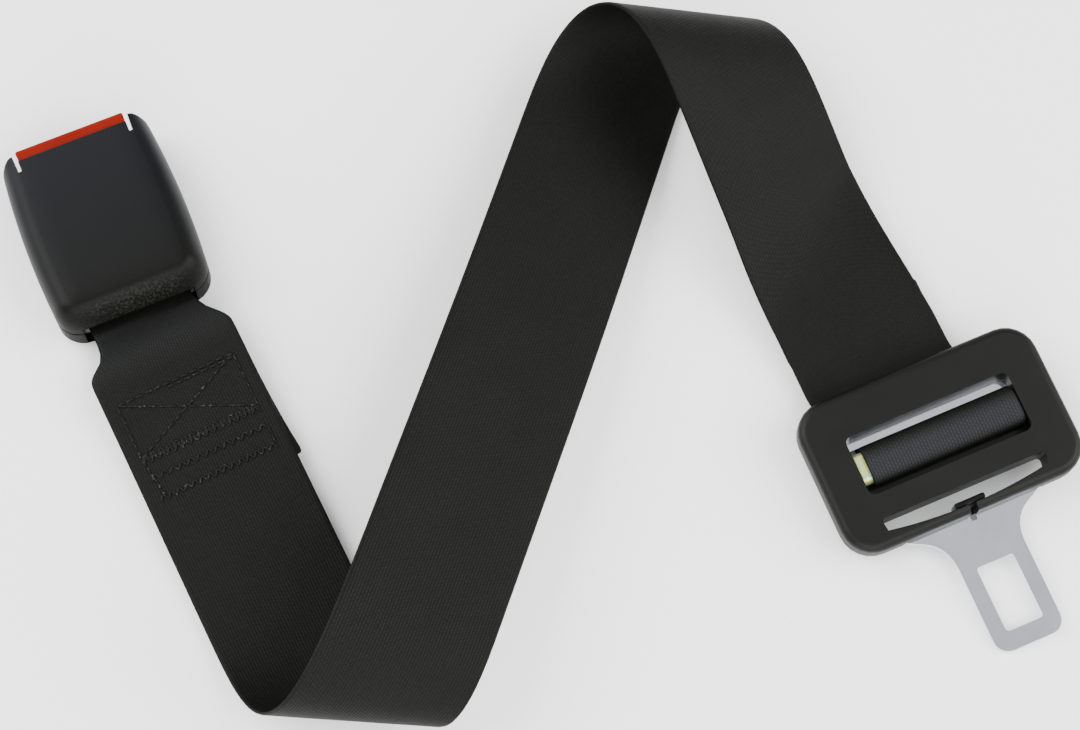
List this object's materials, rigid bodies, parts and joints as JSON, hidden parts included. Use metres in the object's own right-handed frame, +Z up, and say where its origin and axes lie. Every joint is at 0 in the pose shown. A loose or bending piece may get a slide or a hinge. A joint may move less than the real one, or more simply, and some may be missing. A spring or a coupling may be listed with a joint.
{
  "type": "seat belt extender",
  "caption": "Black webbing folded in an N, with a press-button buckle at one end and an adjustable chromed tongue at the other.",
  "frame": {"origin": "centre of the bounding box in plan, on the plane the part lies on", "axes": "+X along the long side of the folded N, from the buckle's end to the tongue's end; +Y towards the top of the N; +Z up"},
  "size_m": [0.3337, 0.2316, 0.0437],
  "materials": {
    "shell_plastic": "fine moulded grain, black",
    "button_plastic": "satin, red-orange",
    "frame_steel": "stamped, plain",
    "plate_chrome": "polished",
    "bar_zinc": "yellow zinc plated",
    "mechanism_plastic": "natural, plain",
    "spring_steel": "drawn wire",
    "webbing_polyester": "ribbed twill weave, black",
    "thread_polyester": "bonded thread, black",
    "tongue_plastic": "satin, black",
    "collar_plastic": "smooth, black"
  },
  "bodies": {
    "base": {"front_cover": "shell_plastic", "rear_cover": "shell_plastic", "base_frame": "frame_steel", "latch_pin": "frame_steel", "button_spring_left": "spring_steel", "button_spring_right": "spring_steel", "lock_spring": "spring_steel", "ejector_spring": "spring_steel", "webbing": "webbing_polyester", "box_stitching": "thread_polyester", "tail_stitching": "thread_polyester", "tongue_plate": "plate_chrome", "tongue_cover": "tongue_plastic", "arm_collar": "collar_plastic", "lock_bar": "bar_zinc"},
    "button": {"press_button": "button_plastic"},
    "lock": {"lock_slider": "mechanism_plastic", "lock_pin": "frame_steel"},
    "ejector_body": {"ejector": "mechanism_plastic"},
    "latch_body": {"latch": "frame_steel"}
  },
  "joints": [
    {"name": "button_press", "type": "slide", "parent": "base", "child": "button", "axis": [0.3923, -0.9198, 0], "range_m": [0, 0.005], "stiffness_N_per_m": 1500, "springref_m": -0.004, "deforming": ["button_spring_left", "button_spring_right"]},
    {"name": "lock_slide", "type": "slide", "parent": "base", "child": "lock", "axis": [0.3923, -0.9198, 0], "range_m": [0, 0.005], "deforming": ["lock_spring"]},
    {"name": "ejector_slide", "type": "slide", "parent": "base", "child": "ejector_body", "axis": [0.3923, -0.9198, 0], "range_m": [0, 0.009], "stiffness_N_per_m": 500, "springref_m": -0.006, "deforming": ["ejector_spring"]},
    {"name": "latch_swing", "type": "hinge", "parent": "base", "child": "latch_body", "pos_m": [-0.12915, 0.03453, 0.01254], "axis": [-0.9198, -0.3923, 0], "range_deg": [0, 10.6]}
  ],
  "couplings": [
    {"joint": "lock_slide", "follows": "button_press", "ratio": 1},
    {"joint": "latch_swing", "follows": "ejector_slide", "rad_per_m": 20.4}
  ]
}
